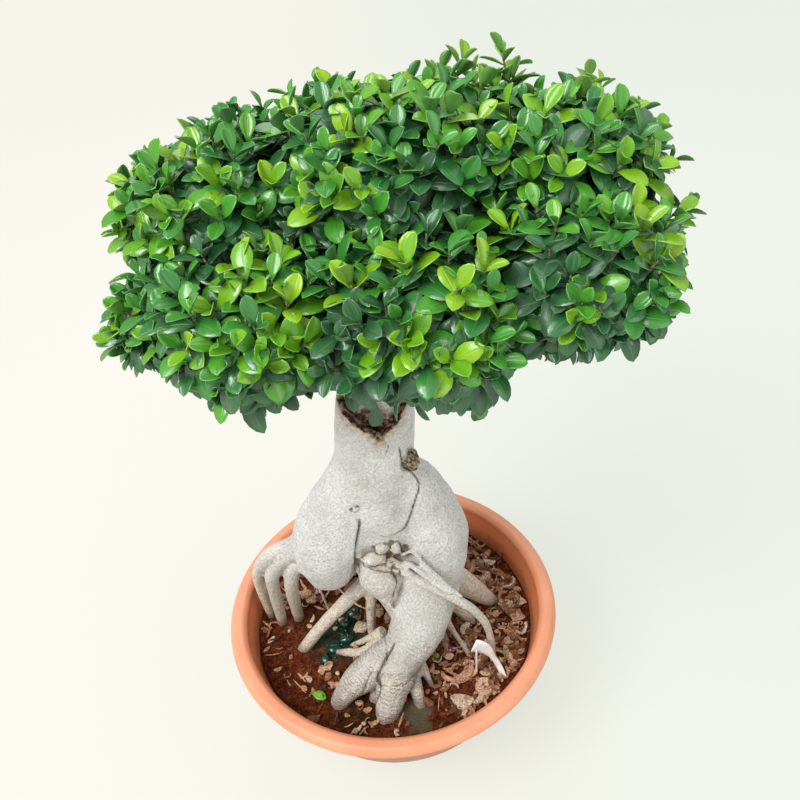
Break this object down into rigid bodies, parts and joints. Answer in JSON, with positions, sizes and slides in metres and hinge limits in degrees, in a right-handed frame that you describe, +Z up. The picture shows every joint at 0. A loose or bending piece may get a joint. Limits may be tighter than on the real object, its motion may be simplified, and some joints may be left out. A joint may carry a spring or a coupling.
{
  "type": "potted bonsai tree",
  "caption": "Panda ficus bonsai with a swollen, many-rooted trunk under a wide crown of small glossy leaves, standing in a round terracotta-coloured bowl of soil.",
  "frame": {"origin": "on the floor under the middle of the pot", "axes": "+Z up along the pot's axis, -Y towards the front that the picture shows, +X to its right"},
  "size_m": [0.5313, 0.4, 0.7912],
  "materials": {
    "pot": "terracotta-coloured moulded plastic, satin",
    "soil": "damp reddish husk and bark mix",
    "bark": "pale grey bark, dull",
    "foliage": "glossy leaves, fresh green at the tips",
    "young_leaf": "glossy lime-green leaf",
    "dark_green_glass": "polished coloured glass",
    "lime_glass": "polished coloured glass",
    "pink_glass": "polished coloured glass",
    "green_glass": "polished coloured glass",
    "tag": "bare white plastic"
  },
  "bodies": {
    "root": {"pot": "pot", "soil": "soil", "trunk": "bark", "foliage_top": "foliage", "foliage_top_left": "foliage", "foliage_top_right": "foliage", "foliage_back": "foliage", "foliage_back_left": "foliage", "foliage_back_right": "foliage", "foliage_front": "foliage", "foliage_front_left": "foliage", "foliage_front_right": "foliage", "foliage_left": "foliage", "foliage_right": "foliage", "pebble_dark_green_1": "dark_green_glass", "pebble_dark_green_2": "dark_green_glass", "pebble_dark_green_3": "dark_green_glass", "pebble_dark_green_4": "dark_green_glass", "pebble_dark_green_5": "dark_green_glass", "pebble_lime": "lime_glass", "pebble_pink": "pink_glass", "pebble_green": "green_glass", "fallen_leaf": "young_leaf", "tag": "tag"}
  },
  "joints": []
}
